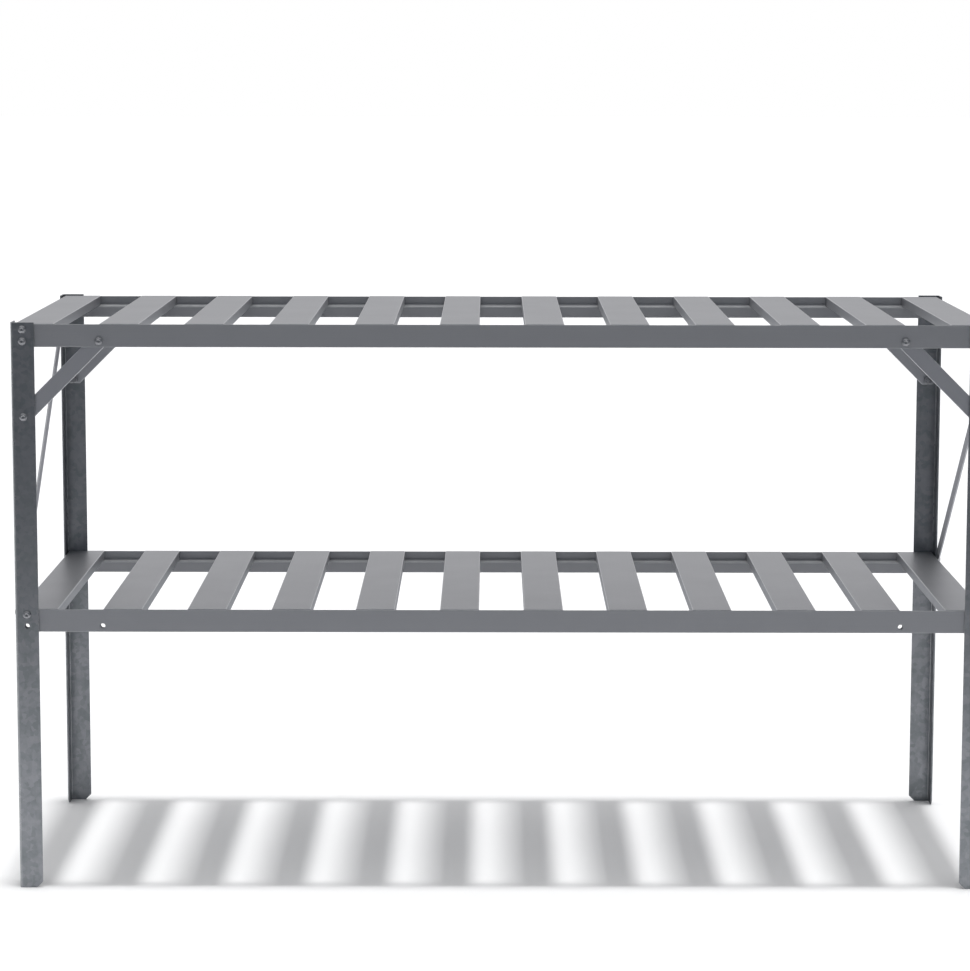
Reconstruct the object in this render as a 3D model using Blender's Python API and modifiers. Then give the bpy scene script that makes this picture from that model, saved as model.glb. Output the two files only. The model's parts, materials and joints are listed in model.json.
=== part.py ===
"""Two-tier slatted potting bench: four angle legs, four ledged rails, two decks of twelve channel slats,
four corner braces, two side diagonals, and the M6 bolts with their nuts that hold them together.

Metres, +Z up. X runs along the bench, Y from front to back, and the origin is on the floor under its middle.
A piece on a face of the bench is drawn as seen from outside that face: x to the right, y up, z outwards.
"""
import math

import bmesh
import bpy
from mathutils import Matrix

# ---------------------------------------------------------------- overall sizes
LENGTH = 1.250                  # over the outer faces of the legs
DEPTH = 0.500
UPPER_SHELF_HEIGHT = 0.7335     # floor to the top edge of the upper rails
LOWER_SHELF_HEIGHT = 0.3660     # floor to the top edge of the lower rails
GAP = 0.0003                    # left between faces that touch
SHARP_EDGE = math.radians(35)   # a steeper edge is shaded sharp

# ---------------------------------------------------------------- M6 fasteners
BOLT_DIAMETER = 0.0060
BOLT_PAST_NUT = 0.0015
HEAD_DIAMETER = 0.0105
HEAD_HEIGHT = 0.0033
HEAD_RIM = 0.0008               # straight edge of the button head
SOCKET_FLATS = 0.0040
SOCKET_DEPTH = 0.0020
NUT_FLATS = 0.0100
NUT_HEIGHT = 0.0050
HOLE_DIAMETER = 0.0068
NUT_CLEARANCE = 0.0004          # between the nuts of a leg's two flanges
BOLT_CLEARANCE = 0.0011         # side flange's bolt to the rail bolt's nut
DOME_TURN = math.radians(40)     # up the head's side to the point where it flattens
ROUND_STEPS = 12

# ---------------------------------------------------------------- rails
RAIL_HEIGHT = 0.0290
RAIL_WALL = 0.0018
NUT_ROOM_ABOVE = 0.0015         # rail's top edge to the upper nut
NUT_ROOM_BELOW = 0.0005         # upper nut to the ledge
LEDGE_DEPTH = 0.0090            # from the inner face of the web
LEDGE_WALL = 0.0018
LIP_WALL = 0.0018
LIP_RADIUS = 0.0030             # where the ledge turns down into the lip

# ---------------------------------------------------------------- legs
ANGLE_WIDTH = 0.0300
ANGLE_WALL = 0.0020
ANGLE_RADIUS = 0.0030           # outer corner; the inner one is this less the wall
TOE_CLIP = 0.0080               # 45 degree cut at the foot of each flange's free edge
LEG_PROUD = 0.0025              # leg above the upper rails

# ---------------------------------------------------------------- flat bars
BAR_WIDTH = 0.0200
BAR_THICKNESS = 0.0020
BRACE_REACH = 0.0970            # hole to hole, along and down
BRACE_TIP_UP = 0.0060           # hole to the level cut of the brace's tip
BRACE_TIP_OUT = 0.0090          # hole to the upright cut of the brace's tip
BRACE_TIP_RADIUS = 0.0030
BRACE_SEAT = 0.00065            # gap at the holes of the slightly slanting brace

# ---------------------------------------------------------------- slats
SLATS_PER_SHELF = 12
SLAT_WIDTH = 0.0500
SLAT_WALL = 0.0014
SLAT_RADIUS = 0.0010
SLAT_PROUD = 0.0007             # deck above the rail's top edge

# ---------------------------------------------------------------- worked out from these
LEG_HEIGHT = UPPER_SHELF_HEIGHT + LEG_PROUD
END_MARGIN = ANGLE_WALL + BAR_THICKNESS + 2 * GAP       # room for a diagonal inside the leg's side flange
RAIL_LENGTH = LENGTH - 2 * END_MARGIN
RAIL_FACE = DEPTH / 2 - ANGLE_WALL - GAP                # outer face of a rail's web, from the middle
RAIL_DEPTH = RAIL_WALL + LEDGE_DEPTH
UPPER_HOLE_DROP = NUT_ROOM_ABOVE + NUT_FLATS / 2
LEDGE_DROP = UPPER_HOLE_DROP + NUT_FLATS / 2 + NUT_ROOM_BELOW
LOWER_HOLE_DROP = (LEDGE_DROP + LEDGE_WALL + RAIL_HEIGHT) / 2
# A leg's corner to the hole line of its front or rear flange, and to that of its side flange.
FACE_HOLE_INSET = END_MARGIN + NUT_HEIGHT + NUT_CLEARANCE + NUT_FLATS / 2
SIDE_HOLE_INSET = ANGLE_WALL + RAIL_DEPTH + 2 * GAP + NUT_HEIGHT + BOLT_CLEARANCE + BOLT_DIAMETER / 2
FACE_HOLE_X = LENGTH / 2 - FACE_HOLE_INSET
SIDE_HOLE_Y = DEPTH / 2 - SIDE_HOLE_INSET
BRACE_HOLE_X = FACE_HOLE_X - BRACE_REACH
BRACE_FOOT_Z = UPPER_SHELF_HEIGHT - LOWER_HOLE_DROP - BRACE_REACH
DIAGONAL_TOP_Z = UPPER_SHELF_HEIGHT - LOWER_HOLE_DROP
DIAGONAL_FOOT_Z = LOWER_SHELF_HEIGHT - UPPER_HOLE_DROP
SLAT_HEIGHT = LEDGE_DROP - GAP + SLAT_PROUD
SLAT_LENGTH = 2 * (RAIL_FACE - RAIL_WALL - GAP)
SLAT_PITCH = (RAIL_LENGTH - SLAT_WIDTH) / (SLATS_PER_SHELF - 1)

SHELVES = {"upper": UPPER_SHELF_HEIGHT, "lower": LOWER_SHELF_HEIGHT}
CORNERS = {                     # sign of X and of Y
    "front_left": (-1, -1),
    "front_right": (1, -1),
    "rear_left": (-1, 1),
    "rear_right": (1, 1),
}
FACE_TURN = {-1: 0, 1: 180}     # front and rear, degrees about Z
SIDE_TURN = {-1: -90, 1: 90}    # left and right

ALONG_X = Matrix(((0, 0, 1, 0), (1, 0, 0, 0), (0, 1, 0, 0), (0, 0, 0, 1)))
ALONG_Y = Matrix(((1, 0, 0, 0), (0, 0, -1, 0), (0, 1, 0, 0), (0, 0, 0, 1)))


# ---------------------------------------------------------------- scene and materials
def new_collection(name):
    collection = bpy.data.collections.new(name)
    bpy.context.scene.collection.children.link(collection)
    return collection


def metal(name, colour, roughness):
    material = bpy.data.materials.new(name)
    material.use_nodes = True
    shader = material.node_tree.nodes["Principled BSDF"]
    shader.inputs["Base Color"].default_value = (*colour, 1.0)
    shader.inputs["Metallic"].default_value = 1.0
    shader.inputs["Roughness"].default_value = roughness
    return material


for existing in list(bpy.data.objects):
    bpy.data.objects.remove(existing, do_unlink=True)
PARTS = new_collection("potting_bench")
CUTTERS = new_collection("potting_bench_cutters")
FINISHES = {
    "leg": metal("galvanised_steel", (0.30, 0.32, 0.34), 0.50),
    "rail": metal("mill_aluminium", (0.47, 0.48, 0.50), 0.42),
    "slat": metal("satin_aluminium", (0.62, 0.63, 0.65), 0.38),
    "bar": metal("zinc_flat_bar", (0.46, 0.47, 0.49), 0.45),
    "fastener": metal("bright_zinc", (0.56, 0.57, 0.58), 0.32),
}


# ---------------------------------------------------------------- shape helpers
def arc(centre, radius, start, end, steps):
    """Points on a circle from one angle to another, in degrees."""
    angles = [math.radians(start + (end - start) * step / steps) for step in range(steps + 1)]
    return [(centre[0] + radius * math.cos(a), centre[1] + radius * math.sin(a)) for a in angles]


def mesh_of(source):
    """Evaluated mesh of an object, with loose caps welded; the object goes."""
    bpy.context.view_layer.update()
    evaluated = source.evaluated_get(bpy.context.evaluated_depsgraph_get())
    mesh = bpy.data.meshes.new_from_object(evaluated)
    shape = bmesh.new()
    shape.from_mesh(mesh)
    bmesh.ops.remove_doubles(shape, verts=shape.verts, dist=1e-6)
    bmesh.ops.recalc_face_normals(shape, faces=shape.faces)
    shape.to_mesh(mesh)
    shape.free()
    bpy.data.objects.remove(source, do_unlink=True)
    return mesh


def holder_of(mesh):
    holder = bpy.data.objects.new(mesh.name, mesh)
    PARTS.objects.link(holder)
    return holder


def plate(outline, thickness):
    """Mesh of a flat outline in XY with its thickness centred on Z."""
    curve = bpy.data.curves.new("outline", "CURVE")
    curve.dimensions = "2D"
    curve.fill_mode = "BOTH"
    curve.extrude = thickness / 2
    spline = curve.splines.new("POLY")
    spline.points.add(len(outline) - 1)
    for point, (x, y) in zip(spline.points, outline):
        point.co = (x, y, 0, 1)
    spline.use_cyclic_u = True
    return mesh_of(holder_of(curve))


def prism(segments, radius, bottom, top, turn=0):
    """Upright prism or cylinder on the Z axis, as a bmesh."""
    shape = bmesh.new()
    place = Matrix.Translation((0, 0, (bottom + top) / 2)) @ Matrix.Rotation(math.radians(turn), 4, "Z")
    bmesh.ops.create_cone(
        shape,
        cap_ends=True,
        segments=segments,
        radius1=radius,
        radius2=radius,
        depth=top - bottom,
        matrix=place,
    )
    return shape


def drills(places, axis):
    """Cutter for round holes along Y or X, long enough for a rail's web and lip, centred on each place."""
    shape = bmesh.new()
    along = Matrix.Rotation(math.radians(90), 4, "X" if axis == "Y" else "Y")
    for place in places:
        bmesh.ops.create_cone(
            shape,
            cap_ends=True,
            segments=ROUND_STEPS,
            radius1=HOLE_DIAMETER / 2,
            radius2=HOLE_DIAMETER / 2,
            depth=3 * RAIL_DEPTH,
            matrix=Matrix.Translation(place) @ along,
        )
    return shape


def baked(mesh, *cuts):
    """Mesh with cutters taken away, or joined on where the operation says so."""
    holder = holder_of(mesh)
    for operation, shape in cuts:
        tool_mesh = bpy.data.meshes.new("tool")
        shape.to_mesh(tool_mesh)
        shape.free()
        tool = bpy.data.objects.new("tool", tool_mesh)
        tool.display_type = "WIRE"
        tool.hide_render = True
        CUTTERS.objects.link(tool)
        boolean = holder.modifiers.new(operation.lower(), "BOOLEAN")
        boolean.operation = operation
        boolean.object = tool
        boolean.solver = "EXACT"
    return mesh_of(holder)


def add_part(name, mesh, finish, location, turn=0, lie=0):
    """Object of a mesh, laid back by lie about X and then turned about Z, in degrees."""
    if not mesh.materials:
        mesh.materials.append(FINISHES[finish])
        mesh.shade_smooth()
        mesh.set_sharp_from_angle(angle=SHARP_EDGE)
    part = bpy.data.objects.new(name, mesh)
    part.location = location
    part.rotation_euler = (math.radians(lie), 0, math.radians(turn))
    PARTS.objects.link(part)
    return part


# ---------------------------------------------------------------- legs
def leg_mesh(hand):
    """Steel angle with its outer corner at the origin, its face flange towards hand * X, its side flange to +Y."""
    centre = (ANGLE_RADIUS, ANGLE_RADIUS)
    section = [
        (ANGLE_WIDTH, 0),
        (ANGLE_WIDTH, ANGLE_WALL),
        *arc(centre, ANGLE_RADIUS - ANGLE_WALL, 270, 180, 2),
        (ANGLE_WALL, ANGLE_WIDTH),
        (0, ANGLE_WIDTH),
        *arc(centre, ANGLE_RADIUS, 180, 270, 4),
    ]
    mesh = plate([(hand * x, y) for x, y in section], LEG_HEIGHT)
    mesh.transform(Matrix.Translation((0, 0, LEG_HEIGHT / 2)))

    half = 2 * TOE_CLIP
    shift = half / math.sqrt(2) - TOE_CLIP / 2
    toes = bmesh.new()
    beside_face = Matrix.Translation((hand * (ANGLE_WIDTH + shift), ANGLE_WALL / 2, -shift))
    beside_side = Matrix.Translation((hand * ANGLE_WALL / 2, ANGLE_WIDTH + shift, -shift))
    across_y = Matrix.Diagonal((2 * half, 2 * ANGLE_WALL, 2 * half, 1))
    across_x = Matrix.Diagonal((2 * ANGLE_WALL, 2 * half, 2 * half, 1))
    eighth = math.radians(45)
    bmesh.ops.create_cube(toes, size=1, matrix=beside_face @ Matrix.Rotation(eighth, 4, "Y") @ across_y)
    bmesh.ops.create_cube(toes, size=1, matrix=beside_side @ Matrix.Rotation(eighth, 4, "X") @ across_x)

    shelf_holes = [top - drop for top in SHELVES.values() for drop in (UPPER_HOLE_DROP, LOWER_HOLE_DROP)]
    face_holes = [(hand * FACE_HOLE_INSET, 0, z) for z in shelf_holes + [BRACE_FOOT_Z]]
    side_holes = [(0, SIDE_HOLE_INSET, z) for z in (DIAGONAL_TOP_Z, DIAGONAL_FOOT_Z)]
    return baked(
        mesh,
        ("DIFFERENCE", toes),
        ("DIFFERENCE", drills(face_holes, "Y")),
        ("DIFFERENCE", drills(side_holes, "X")),
    )


def add_legs():
    meshes = {hand: leg_mesh(hand) for hand in (1, -1)}
    for corner, (side, face) in CORNERS.items():
        place = (side * LENGTH / 2, face * DEPTH / 2, 0)
        add_part("leg_" + corner, meshes[side * face], "leg", place, FACE_TURN[face])


# ---------------------------------------------------------------- rails
def rail_mesh():
    """Aluminium extrusion along X: web at y = 0 rising to z = 0, and a ledge behind it that turns down to a lip."""
    corner = (RAIL_DEPTH - LIP_RADIUS, -LEDGE_DROP - LIP_RADIUS)
    section = [
        (0, 0),
        (RAIL_WALL, 0),
        (RAIL_WALL, -LEDGE_DROP),
        *arc(corner, LIP_RADIUS, 90, 0, 3),
        (RAIL_DEPTH, -RAIL_HEIGHT),
        (RAIL_DEPTH - LIP_WALL, -RAIL_HEIGHT),
        *arc(corner, LIP_RADIUS - LIP_WALL, 0, 90, 2),
        (RAIL_WALL, -LEDGE_DROP - LEDGE_WALL),
        (RAIL_WALL, -RAIL_HEIGHT),
        (0, -RAIL_HEIGHT),
    ]
    mesh = plate(section, RAIL_LENGTH)
    mesh.transform(ALONG_X)
    pattern = [
        (FACE_HOLE_X, UPPER_HOLE_DROP),
        (FACE_HOLE_X, LOWER_HOLE_DROP),
        (BRACE_HOLE_X, LOWER_HOLE_DROP),
    ]
    holes = [(side * x, 0, -drop) for side in (-1, 1) for x, drop in pattern]
    return baked(mesh, ("DIFFERENCE", drills(holes, "Y")))


def add_rails():
    mesh = rail_mesh()
    for shelf, top in SHELVES.items():
        for end, face in (("front", -1), ("rear", 1)):
            add_part(f"{shelf}_rail_{end}", mesh, "rail", (0, face * RAIL_FACE, top), FACE_TURN[face])


# ---------------------------------------------------------------- slats
def slat_mesh(bolted):
    """Inverted channel along Y with its deck at z = 0. A bolted one has a hole at the front of its left flange."""
    half = SLAT_WIDTH / 2
    right = [
        *arc((half - SLAT_RADIUS, -SLAT_RADIUS), SLAT_RADIUS, 90, 0, 2),
        (half, -SLAT_HEIGHT),
        (half - SLAT_WALL, -SLAT_HEIGHT),
        (half - SLAT_WALL, -SLAT_WALL),
    ]
    mesh = plate(right + [(-x, z) for x, z in reversed(right)], SLAT_LENGTH)
    mesh.transform(ALONG_Y)
    if not bolted:
        return mesh
    hole = (-half, -SIDE_HOLE_Y, -SLAT_PROUD - UPPER_HOLE_DROP)
    return baked(mesh, ("DIFFERENCE", drills([hole], "X")))


def add_slats():
    """Twelve a shelf. The lower diagonal bolts go through the lower shelf's two end slats."""
    plain = slat_mesh(False)
    bolted = slat_mesh(True)
    for shelf, top in SHELVES.items():
        for index in range(SLATS_PER_SHELF):
            x = -RAIL_LENGTH / 2 + SLAT_WIDTH / 2 + index * SLAT_PITCH
            first = index == 0
            last = index == SLATS_PER_SHELF - 1
            mesh = bolted if shelf == "lower" and (first or last) else plain
            place = (x, 0, top + SLAT_PROUD)
            add_part(f"{shelf}_slat_{index + 1:02d}", mesh, "slat", place, 180 if last else 0)


# ---------------------------------------------------------------- braces and diagonals
def brace_mesh(hand):
    """Flat bar at 45 degrees, foot hole at the origin, head hole towards hand * x and up.

    Both tips have a level and an upright cut, so that the upper one goes up between the rail's web and lip.
    The web stands behind the leg's flange, so the bar slants back by that step from its foot to its head.
    """
    half_diagonal = BAR_WIDTH / math.sqrt(2)
    round_centre = (BRACE_TIP_RADIUS - BRACE_TIP_OUT, BRACE_TIP_RADIUS - BRACE_TIP_UP)
    tip = [
        (half_diagonal - BRACE_TIP_UP, -BRACE_TIP_UP),
        *arc(round_centre, BRACE_TIP_RADIUS, 270, 180, 2),
        (-BRACE_TIP_OUT, half_diagonal - BRACE_TIP_OUT),
    ]
    outline = tip + [(BRACE_REACH - x, BRACE_REACH - y) for x, y in tip]
    mesh = plate([(hand * x, y) for x, y in outline], BAR_THICKNESS)
    step_back = (GAP + RAIL_WALL) / (2 * BRACE_REACH)
    for vertex in mesh.vertices:
        vertex.co.z -= step_back * (hand * vertex.co.x + vertex.co.y)
    holes = drills([(0, 0, 0), (hand * BRACE_REACH, 0, BRACE_REACH)], "Y")
    bmesh.ops.rotate(holes, verts=holes.verts, matrix=Matrix.Rotation(math.radians(-90), 3, "X"))
    return baked(mesh, ("DIFFERENCE", holes))


def add_corner_braces():
    meshes = {hand: brace_mesh(hand) for hand in (1, -1)}
    middle = DEPTH / 2 - ANGLE_WALL - BRACE_SEAT - BAR_THICKNESS / 2
    for corner, (side, face) in CORNERS.items():
        place = (side * FACE_HOLE_X, face * middle, BRACE_FOOT_Z)
        add_part("corner_brace_" + corner, meshes[side * face], "bar", place, FACE_TURN[face], 90)


def diagonal_mesh():
    """Round-ended flat bar, seen from its side of the bench: top hole on the left, foot hole on the right."""
    top = (-SIDE_HOLE_Y, DIAGONAL_TOP_Z)
    foot = (SIDE_HOLE_Y, DIAGONAL_FOOT_Z)
    run = math.degrees(math.atan2(foot[1] - top[1], foot[0] - top[0]))
    outline = arc(foot, BAR_WIDTH / 2, run - 90, run + 90, 6) + arc(top, BAR_WIDTH / 2, run + 90, run + 270, 6)
    mesh = plate(outline, BAR_THICKNESS)
    holes = drills([(top[0], 0, top[1]), (foot[0], 0, foot[1])], "Y")
    bmesh.ops.rotate(holes, verts=holes.verts, matrix=Matrix.Rotation(math.radians(-90), 3, "X"))
    return baked(mesh, ("DIFFERENCE", holes))


def add_side_diagonals():
    """The left bar lies inside the legs' side flanges and the right one outside them."""
    mesh = diagonal_mesh()
    inside = LENGTH / 2 - ANGLE_WALL - GAP - BAR_THICKNESS / 2
    outside = LENGTH / 2 + GAP + BAR_THICKNESS / 2
    add_part("side_diagonal_left", mesh, "bar", (-inside, 0, 0), SIDE_TURN[-1], 90)
    add_part("side_diagonal_right", mesh, "bar", (outside, 0, 0), SIDE_TURN[1], 90)


# ---------------------------------------------------------------- fasteners
def fastener_mesh(grip, flats_up):
    """Button-head bolt with its nut on: under-head face at z = 0, shank along -z, nut's near face at -grip."""
    head = HEAD_DIAMETER / 2
    shank = BOLT_DIAMETER / 2
    end = -grip - NUT_HEIGHT - BOLT_PAST_NUT
    profile = [
        (0, HEAD_HEIGHT),
        (head * math.sin(DOME_TURN), HEAD_RIM + (HEAD_HEIGHT - HEAD_RIM) * math.cos(DOME_TURN)),
        (head, HEAD_RIM),
        (head, 0),
        (shank, 0),
        (shank, end),
        (0, end),
    ]
    mesh = bpy.data.meshes.new("bolt")
    edges = [(index, index + 1) for index in range(len(profile) - 1)]
    mesh.from_pydata([(r, 0, z) for r, z in profile], edges, [])
    bolt = holder_of(mesh)
    screw = bolt.modifiers.new("turn", "SCREW")
    screw.steps = ROUND_STEPS
    screw.render_steps = ROUND_STEPS
    screw.use_merge_vertices = True
    screw.merge_threshold = 1e-5
    nut = prism(6, NUT_FLATS / math.sqrt(3), -grip - NUT_HEIGHT, -grip, 30 if flats_up else 0)
    socket = prism(6, SOCKET_FLATS / math.sqrt(3), HEAD_HEIGHT - SOCKET_DEPTH, 2 * HEAD_HEIGHT)
    return baked(mesh_of(bolt), ("UNION", nut), ("DIFFERENCE", socket))


def add_fasteners():
    through_web = ANGLE_WALL + RAIL_WALL + 3 * GAP
    through_lip = ANGLE_WALL + RAIL_DEPTH + 3 * GAP
    through_foot = ANGLE_WALL + BAR_THICKNESS + 2 * BRACE_SEAT + GAP
    through_head = RAIL_DEPTH + 2 * GAP
    through_side = ANGLE_WALL + BAR_THICKNESS + 3 * GAP
    web_bolt = fastener_mesh(through_web, True)
    lip_bolt = fastener_mesh(through_lip, False)
    foot_bolt = fastener_mesh(through_foot, False)
    head_bolt = fastener_mesh(through_head, False)
    side_bolt = fastener_mesh(through_side, False)

    leg_seat = DEPTH / 2 + GAP
    rail_seat = RAIL_FACE + GAP
    upper_high = UPPER_SHELF_HEIGHT - UPPER_HOLE_DROP
    upper_low = UPPER_SHELF_HEIGHT - LOWER_HOLE_DROP
    lower_high = LOWER_SHELF_HEIGHT - UPPER_HOLE_DROP
    kinds = [
        ("upper_rail_bolt_high", web_bolt, FACE_HOLE_X, leg_seat, upper_high),
        ("upper_rail_bolt_low", lip_bolt, FACE_HOLE_X, leg_seat, upper_low),
        ("lower_rail_bolt", web_bolt, FACE_HOLE_X, leg_seat, lower_high),
        ("brace_foot_bolt", foot_bolt, FACE_HOLE_X, leg_seat, BRACE_FOOT_Z),
        ("brace_head_bolt", head_bolt, BRACE_HOLE_X, rail_seat, upper_low),
    ]
    for corner, (side, face) in CORNERS.items():
        for kind, mesh, x, seat, z in kinds:
            place = (side * x, face * seat, z)
            add_part(f"{corner}_{kind}", mesh, "fastener", place, FACE_TURN[face], 90)

    left_seat = LENGTH / 2 + GAP
    right_seat = left_seat + BAR_THICKNESS + GAP
    left_place = (-left_seat, SIDE_HOLE_Y, DIAGONAL_TOP_Z)
    right_place = (right_seat, -SIDE_HOLE_Y, DIAGONAL_TOP_Z)
    add_part("left_diagonal_top_bolt", side_bolt, "fastener", left_place, SIDE_TURN[-1], 90)
    add_part("right_diagonal_top_bolt", side_bolt, "fastener", right_place, SIDE_TURN[1], 90)


add_legs()
add_rails()
add_slats()
add_corner_braces()
add_side_diagonals()
add_fasteners()
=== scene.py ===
# %% [markdown]
# # A two-tier potting bench in galvanised steel and aluminium
#
# The bench comes apart into legs, rails, slats, bars, bolts and nuts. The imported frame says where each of
# them sits. This lesson gives every one its finer surface: rounded edges, punched holes, real bolt heads
# with hexagon sockets and cut threads. Then it mixes the metals, sets the light and places the camera.

# %% Load the frame
import math
import json

import bpy
import numpy as np
from mathutils import Matrix, Vector

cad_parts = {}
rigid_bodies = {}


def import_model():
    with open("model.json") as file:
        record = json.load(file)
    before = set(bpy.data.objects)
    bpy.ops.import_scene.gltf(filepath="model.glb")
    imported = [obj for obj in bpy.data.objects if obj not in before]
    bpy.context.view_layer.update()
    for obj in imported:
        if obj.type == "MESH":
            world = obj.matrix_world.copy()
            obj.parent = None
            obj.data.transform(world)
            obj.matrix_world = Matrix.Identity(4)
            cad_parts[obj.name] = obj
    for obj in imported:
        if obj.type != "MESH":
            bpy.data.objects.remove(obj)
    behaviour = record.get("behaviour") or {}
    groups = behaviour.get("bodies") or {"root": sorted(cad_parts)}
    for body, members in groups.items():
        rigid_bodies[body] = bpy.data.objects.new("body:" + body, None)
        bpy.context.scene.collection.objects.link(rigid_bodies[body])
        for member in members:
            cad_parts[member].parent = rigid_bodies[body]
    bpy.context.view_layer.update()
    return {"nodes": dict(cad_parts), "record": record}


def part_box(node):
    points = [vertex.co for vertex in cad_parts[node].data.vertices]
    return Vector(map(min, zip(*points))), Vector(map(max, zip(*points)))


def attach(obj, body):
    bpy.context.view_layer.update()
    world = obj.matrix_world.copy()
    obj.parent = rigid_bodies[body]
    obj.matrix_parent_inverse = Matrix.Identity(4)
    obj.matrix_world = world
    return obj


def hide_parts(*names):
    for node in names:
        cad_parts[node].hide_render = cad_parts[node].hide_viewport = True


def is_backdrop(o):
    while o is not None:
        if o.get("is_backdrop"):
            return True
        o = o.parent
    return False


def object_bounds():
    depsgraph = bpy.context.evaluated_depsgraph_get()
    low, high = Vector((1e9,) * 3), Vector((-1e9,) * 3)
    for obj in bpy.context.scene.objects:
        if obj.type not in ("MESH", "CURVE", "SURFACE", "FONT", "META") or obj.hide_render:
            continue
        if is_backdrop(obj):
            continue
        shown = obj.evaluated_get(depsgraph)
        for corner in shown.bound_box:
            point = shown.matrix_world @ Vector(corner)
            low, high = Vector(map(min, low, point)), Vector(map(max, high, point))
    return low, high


for startup in list(bpy.data.objects):
    bpy.data.objects.remove(startup, do_unlink=True)

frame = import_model()

# %% [markdown]
# ## Sizes
#
# A node's box gives its outer faces, so most places are read from the frame. What a box can't tell, such as
# the thickness of a wall, is named here once. A millimetre is easier to read than 0.001, so it has a name.
# The last ones are for the finish: how far an end is rounded (SOFT), how far a punch rolls the rim of its
# hole, and the angle in degrees above which an edge is shaded sharp.

# %% Name the stock sizes
MM = 0.001
ANGLE_WALL = 2.0 * MM
ANGLE_RADIUS = 3.0 * MM
TOE_CLIP = 8.0 * MM
RAIL_WALL = 1.8 * MM
LEDGE_DROP = 12.0 * MM
LIP_RADIUS = 3.0 * MM
SLAT_WALL = 1.4 * MM
SLAT_RADIUS = 1.0 * MM
BAR_WIDTH = 20.0 * MM
BAR_WALL = 2.0 * MM
BRACE_TIP_UP = 6.0 * MM
BRACE_TIP_OUT = 9.0 * MM
BRACE_TIP_RADIUS = 3.0 * MM
BRACE_SEAT = 0.65 * MM
HOLE_RADIUS = 3.35 * MM
BOLT_RADIUS = 3.0 * MM
HEAD_RADIUS = 5.25 * MM
HEAD_HEIGHT = 2.95 * MM
SOCKET_FLATS = 4.0 * MM
SOCKET_DEPTH = 2.0 * MM
NUT_FLATS = 10.0 * MM
NUT_HEIGHT = 5.0 * MM
BOLT_PAST_NUT = 1.5 * MM
THREAD_PITCH = 1.0 * MM
THREAD_DEPTH = 0.55 * MM
GAP = 0.3 * MM
ROUND_HOLD = 0.12 * MM
FINE_RADIUS = 0.35 * MM
PUNCH_ROLL = 0.25 * MM
LEG_SOFT = 0.3 * MM
RAIL_SOFT = 0.25 * MM
SLAT_SOFT = 0.2 * MM
BAR_SOFT = 0.45 * MM
BAR_MARGIN = 0.5 * MM
THREAD_STEP = 0.14 * MM
POINT_RADIUS = 0.05 * MM
SHARP_ANGLE = 32
SHARP_FASTENER = 28

CORNERS = {
    "front_left": (-1, -1),
    "front_right": (1, -1),
    "rear_left": (-1, 1),
    "rear_right": (1, 1),
}


def centre_of(node):
    """Middle of a node's box."""
    low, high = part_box(node)
    return (low + high) / 2


leg_low, leg_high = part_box("leg_front_left")
rail_low, rail_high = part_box("upper_rail_front")
slat_low, slat_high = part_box("upper_slat_02")
LEG_HEIGHT = leg_high.z
ANGLE_WIDTH = leg_high.x - leg_low.x
HALF_LENGTH = -leg_low.x
HALF_DEPTH = -leg_low.y
RAIL_FACE = -rail_low.y
RAIL_DEPTH = rail_high.y - rail_low.y
RAIL_HEIGHT = rail_high.z - rail_low.z
SLAT_WIDTH = slat_high.x - slat_low.x
SLAT_HEIGHT = slat_high.z - slat_low.z
print(f"leg {ANGLE_WIDTH / MM:.1f}, rail {RAIL_HEIGHT / MM:.1f}, slat {SLAT_WIDTH / MM:.1f} mm")

# %% [markdown]
# ## From an outline to a solid with soft edges
#
# Pressed and extruded metal never ends in a perfectly sharp corner. A Bevel modifier could round it, but it
# treats all edges alike. Here each outline has its own list of corner radii, so a rolled steel corner and a
# sheared edge differ. The outline is then carried along a straight line, and pulled in a little at both ends.


# %% Round the corners of an outline
def rounded(corners, radii, steps=5, hold=ROUND_HOLD):
    """Closed outline with round corners, and how much each of its points lies on a corner.

    With unit vectors a and b from a corner to its neighbours and an angle t between them, the arc's centre is
    the corner plus (a + b) / |a + b| times r / sin(t / 2), and it touches the sides r / tan(t / 2) away. The
    points between turn evenly from one touching point to the other. Two more points just outside the arc hold
    the flat sides flat when the surface is shaded smooth.
    """
    corners = np.asarray(corners, float)
    if signed_area(corners) < 0:
        corners = corners[::-1]
        radii = radii[::-1]
    r = np.asarray(radii, float)[:, None]
    a = unit(np.roll(corners, 1, axis=0) - corners)
    b = unit(np.roll(corners, -1, axis=0) - corners)
    angle = np.arccos(np.clip((a * b).sum(1, keepdims=True), -1, 1))
    reach = r / np.tan(angle / 2)
    centre = corners + unit(a + b) * r / np.sin(angle / 2)
    first = corners + a * reach - centre
    last = corners + b * reach - centre
    sweep_angle = np.pi - angle[:, :, None]
    s = np.linspace(0, 1, steps + 1)[None, :, None]
    turned = np.sin((1 - s) * sweep_angle) * first[:, None] + np.sin(s * sweep_angle) * last[:, None]
    arcs = centre[:, None] + turned / np.sin(sweep_angle)
    before = (corners + a * (reach + hold))[:, None]
    after = (corners + b * (reach + hold))[:, None]
    outline = np.concatenate([before, arcs, after], axis=1).reshape(-1, 2)
    on_corner = np.zeros((len(corners), steps + 3))
    on_corner[:, 1:-1] = 1
    return outline, on_corner.reshape(-1)


def signed_area(points):
    """Half the sum of x1 * y2 - x2 * y1 round the outline; above 0 when it runs anticlockwise."""
    after = np.roll(points, -1, axis=0)
    return 0.5 * (points[:, 0] * after[:, 1] - after[:, 0] * points[:, 1]).sum()


def unit(vectors):
    return vectors / np.linalg.norm(vectors, axis=1, keepdims=True)


square = rounded([(0, 0), (1, 0), (1, 1), (0, 1)], [0.1] * 4)
print(f"a unit square with corners of radius 0.1 keeps {signed_area(square[0]):.3f} of its area")


# %% [markdown]
# The sweep stacks rings of the outline. Only the first and last few differ, where the end is rounded.

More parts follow.
